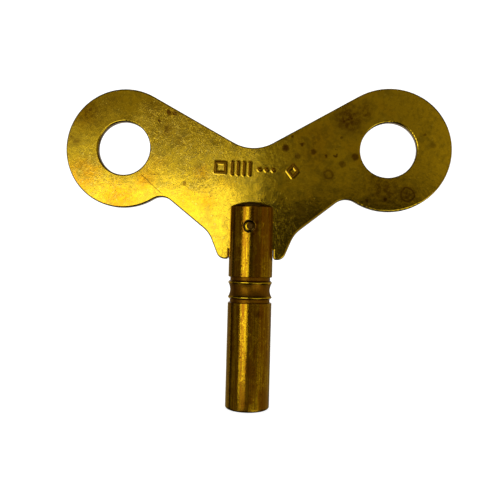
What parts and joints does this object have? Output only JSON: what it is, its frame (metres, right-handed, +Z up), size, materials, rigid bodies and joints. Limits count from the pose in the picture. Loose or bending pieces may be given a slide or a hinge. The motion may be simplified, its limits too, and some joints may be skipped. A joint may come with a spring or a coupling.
{
  "type": "clock winding key",
  "caption": "Winged key cut from flat brass plate, an eye in each wing, riveted into a turned barrel with a square socket in its end.",
  "frame": {"origin": "centre of the socket's mouth, on the barrel's flat end, which is the object's lowest plane", "axes": "+Z up the barrel's axis towards the wing, +X along the wing from eye to eye, -Y the way the stamped face looks"},
  "size_m": [0.0618, 0.007, 0.0508],
  "materials": {
    "wing_plate": "semi-gloss aged sheet, stained",
    "barrel": "turned, semi-gloss, aged",
    "cross_pin": "riveted, satin, dark with age"
  },
  "bodies": {
    "root": {"wing_plate": "wing_plate", "barrel": "barrel", "cross_pin": "cross_pin"}
  },
  "joints": []
}
